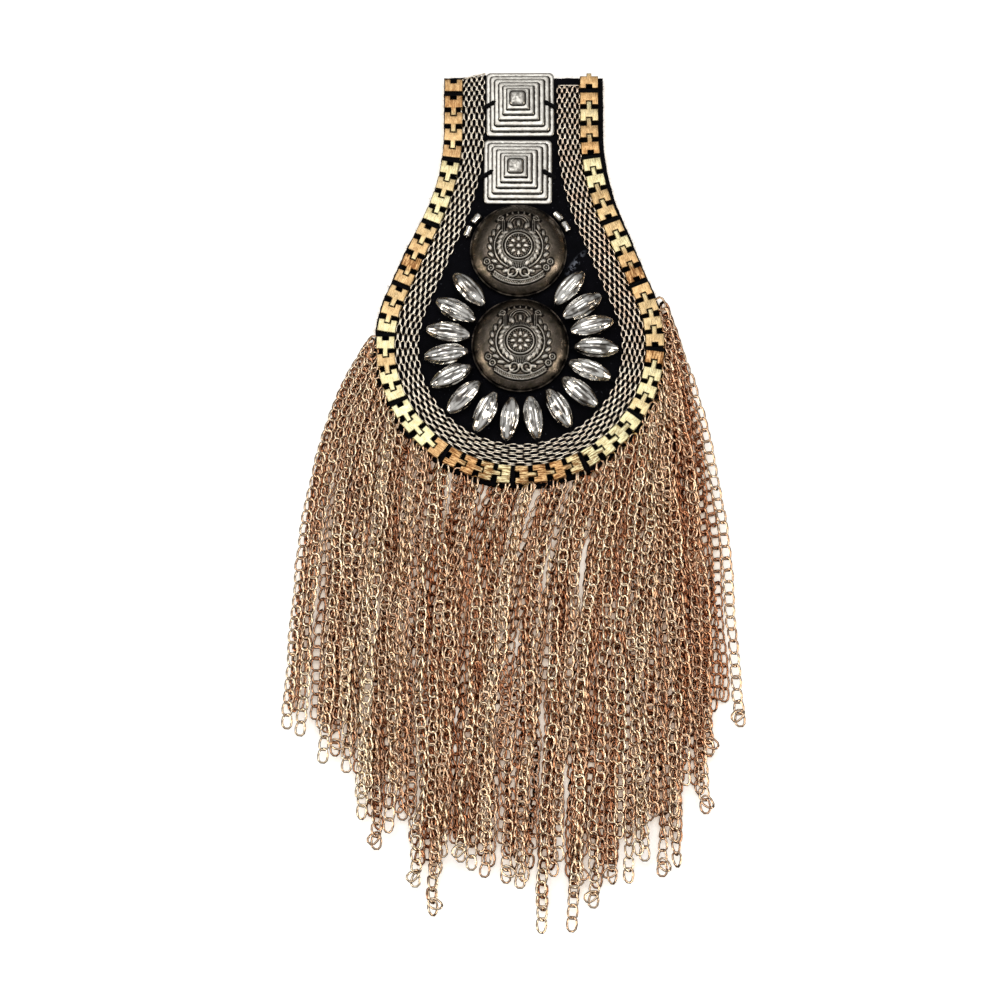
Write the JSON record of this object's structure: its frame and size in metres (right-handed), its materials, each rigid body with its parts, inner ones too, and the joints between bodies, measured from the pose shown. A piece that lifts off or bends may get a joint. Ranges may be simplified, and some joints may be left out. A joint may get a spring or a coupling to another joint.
{
  "type": "beaded epaulette",
  "caption": "Flat shoulder ornament: a felt bulb with a straight neck, metal link and mesh borders, domed buttons, square plates, spindle beads and a long chain fringe.",
  "frame": {"origin": "on the felt's flat back face, under the centre of the lower button", "axes": "+X to the right seen from the front, +Y from the round bulb towards the neck, +Z out of the decorated face"},
  "size_m": [0.1149, 0.2236, 0.0082],
  "materials": {
    "black_felt": "matt wool felt with short fuzz",
    "woven_silver_mesh": "polished champagne-silver wire weave",
    "gilt_strap": "brushed gilt, worn paler on the edges",
    "silver_plate": "antiqued silver, dark in the grooves",
    "dark_pewter": "dark satin pewter, darker in the relief",
    "silver_bead": "polished silver",
    "champagne_chain": "polished rose-champagne plating"
  },
  "bodies": {
    "root": {"chain_fringe": "champagne_chain", "domed_button_lower": "dark_pewter", "domed_button_upper": "dark_pewter", "felt_backing": "black_felt", "mesh_band": "woven_silver_mesh", "petal_bead_01": "silver_bead", "petal_bead_02": "silver_bead", "petal_bead_03": "silver_bead", "petal_bead_04": "silver_bead", "petal_bead_05": "silver_bead", "petal_bead_06": "silver_bead", "petal_bead_07": "silver_bead", "petal_bead_08": "silver_bead", "petal_bead_09": "silver_bead", "petal_bead_10": "silver_bead", "petal_bead_11": "silver_bead", "petal_bead_12": "silver_bead", "petal_bead_13": "silver_bead", "petal_bead_14": "silver_bead", "petal_bead_15": "silver_bead", "petal_bead_16": "silver_bead", "square_plate_lower": "silver_plate", "square_plate_upper": "silver_plate", "strap_run_01": "gilt_strap", "strap_run_02": "gilt_strap", "strap_run_03": "gilt_strap", "strap_run_04": "gilt_strap", "strap_run_05": "gilt_strap", "strap_run_06": "gilt_strap", "strap_run_07": "gilt_strap", "strap_run_08": "gilt_strap", "strap_run_09": "gilt_strap", "strap_run_10": "gilt_strap", "strap_run_11": "gilt_strap", "strap_run_12": "gilt_strap", "strap_run_13": "gilt_strap", "strap_run_14": "gilt_strap", "strap_run_15": "gilt_strap", "strap_run_16": "gilt_strap", "tube_bead_01": "silver_bead", "tube_bead_02": "silver_bead", "tube_bead_03": "silver_bead", "tube_bead_04": "silver_bead"}
  },
  "joints": []
}
